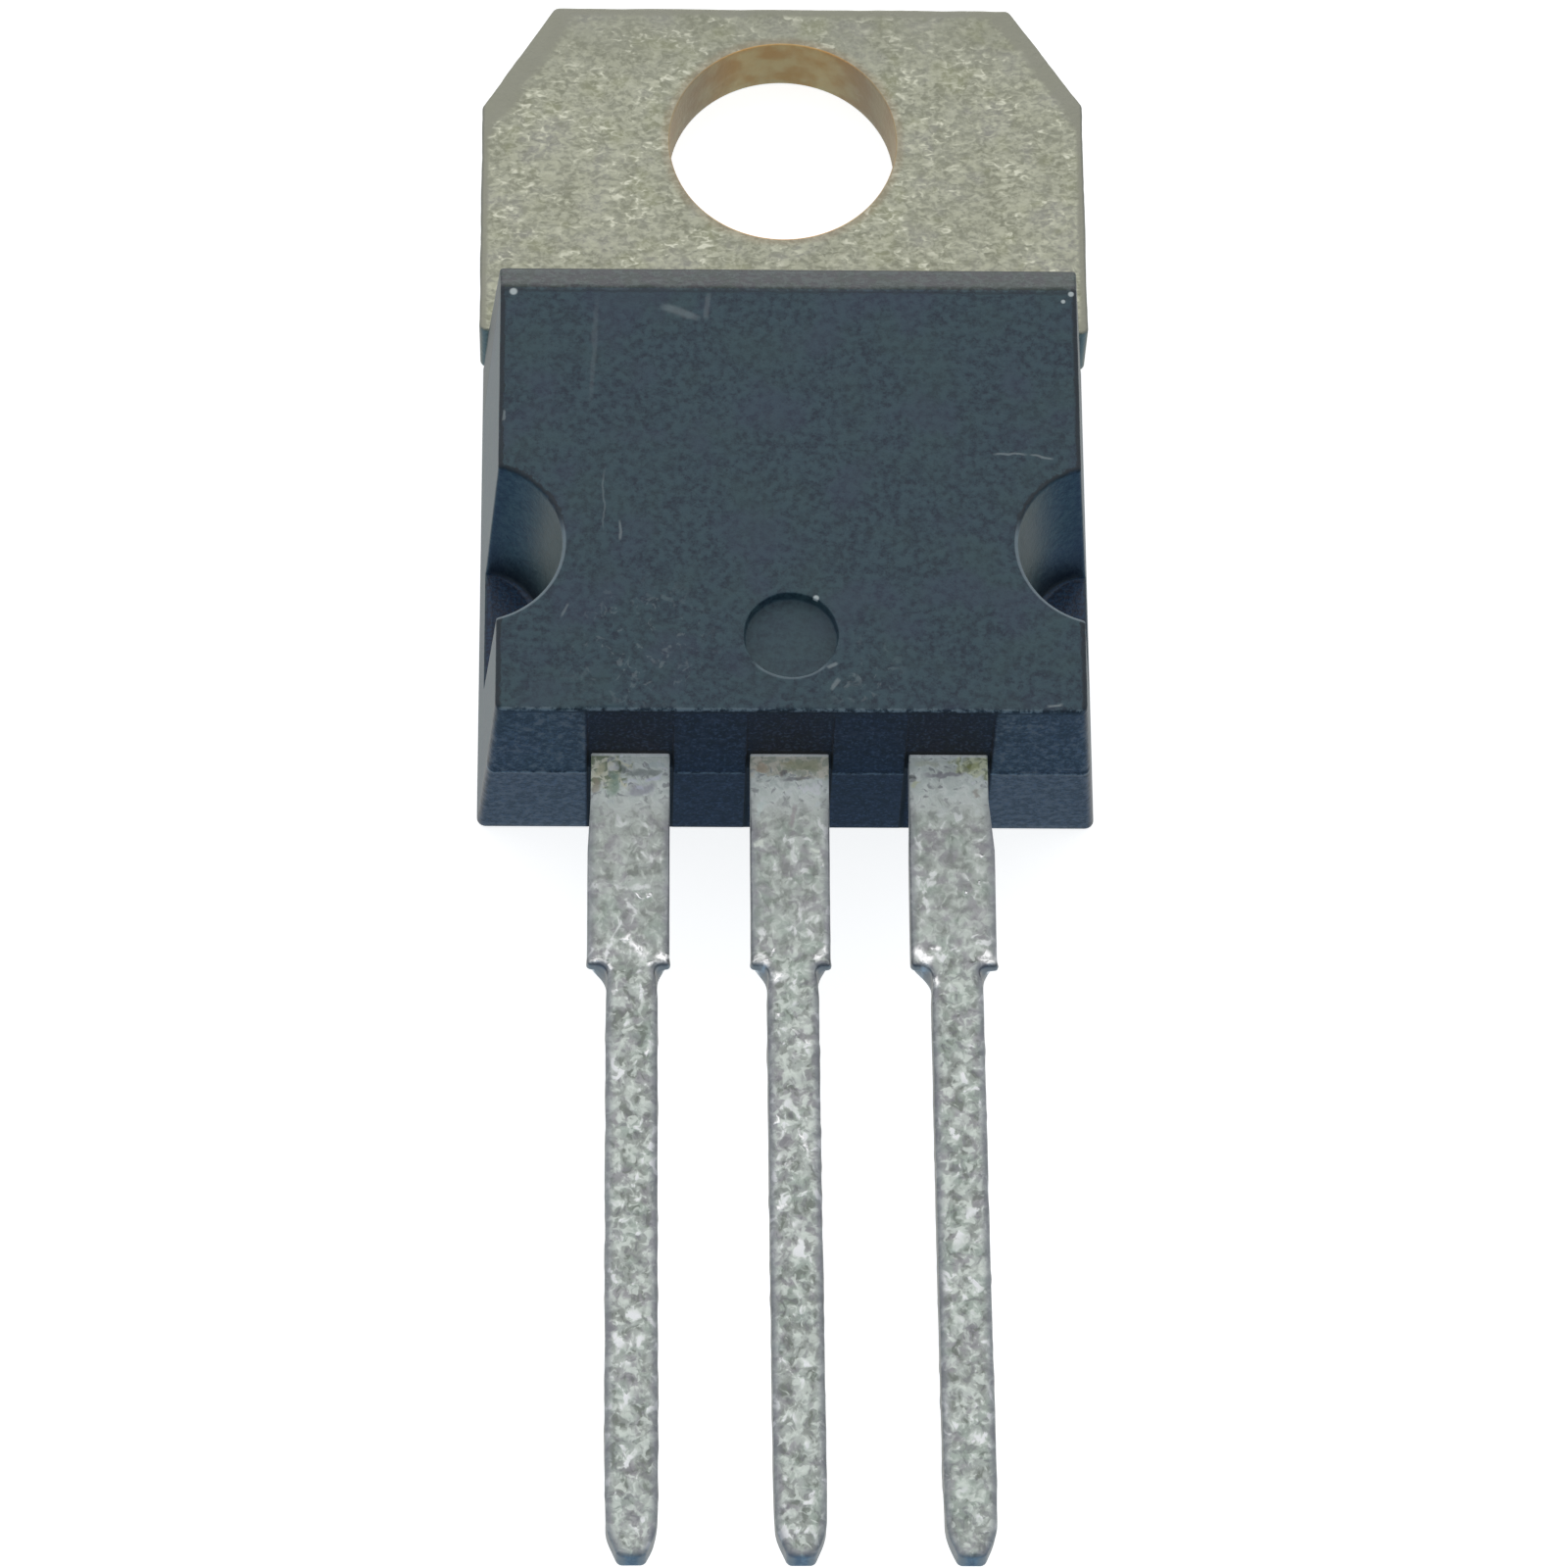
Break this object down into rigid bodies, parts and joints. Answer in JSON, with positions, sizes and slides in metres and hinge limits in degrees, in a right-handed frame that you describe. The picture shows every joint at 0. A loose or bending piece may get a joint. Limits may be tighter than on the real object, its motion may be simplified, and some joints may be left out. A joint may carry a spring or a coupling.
{
  "type": "power transistor",
  "caption": "Through-hole power transistor: flat moulded plastic body on a plated metal mounting tab with a screw hole, and flat leads in a row.",
  "frame": {"origin": "on the axis of the mounting hole, at the back face of the tab", "axes": "+X across the tab towards the emitter lead, +Y from the leads towards the free end of the tab, +Z from the back to the front of the package"},
  "size_m": [0.0102, 0.0286, 0.0045],
  "materials": {
    "plated_copper": "satin",
    "plated_lead": "satin",
    "epoxy_moulding": "matte",
    "silicon": "gloss",
    "solder": "satin",
    "aluminium_wire": "satin"
  },
  "bodies": {
    "root": {"collector_frame": "plated_copper", "base_lead": "plated_lead", "emitter_lead": "plated_lead", "moulded_body": "epoxy_moulding", "silicon_die": "silicon", "die_solder": "solder", "base_bond_wire": "aluminium_wire", "emitter_bond_wire": "aluminium_wire"}
  },
  "joints": []
}
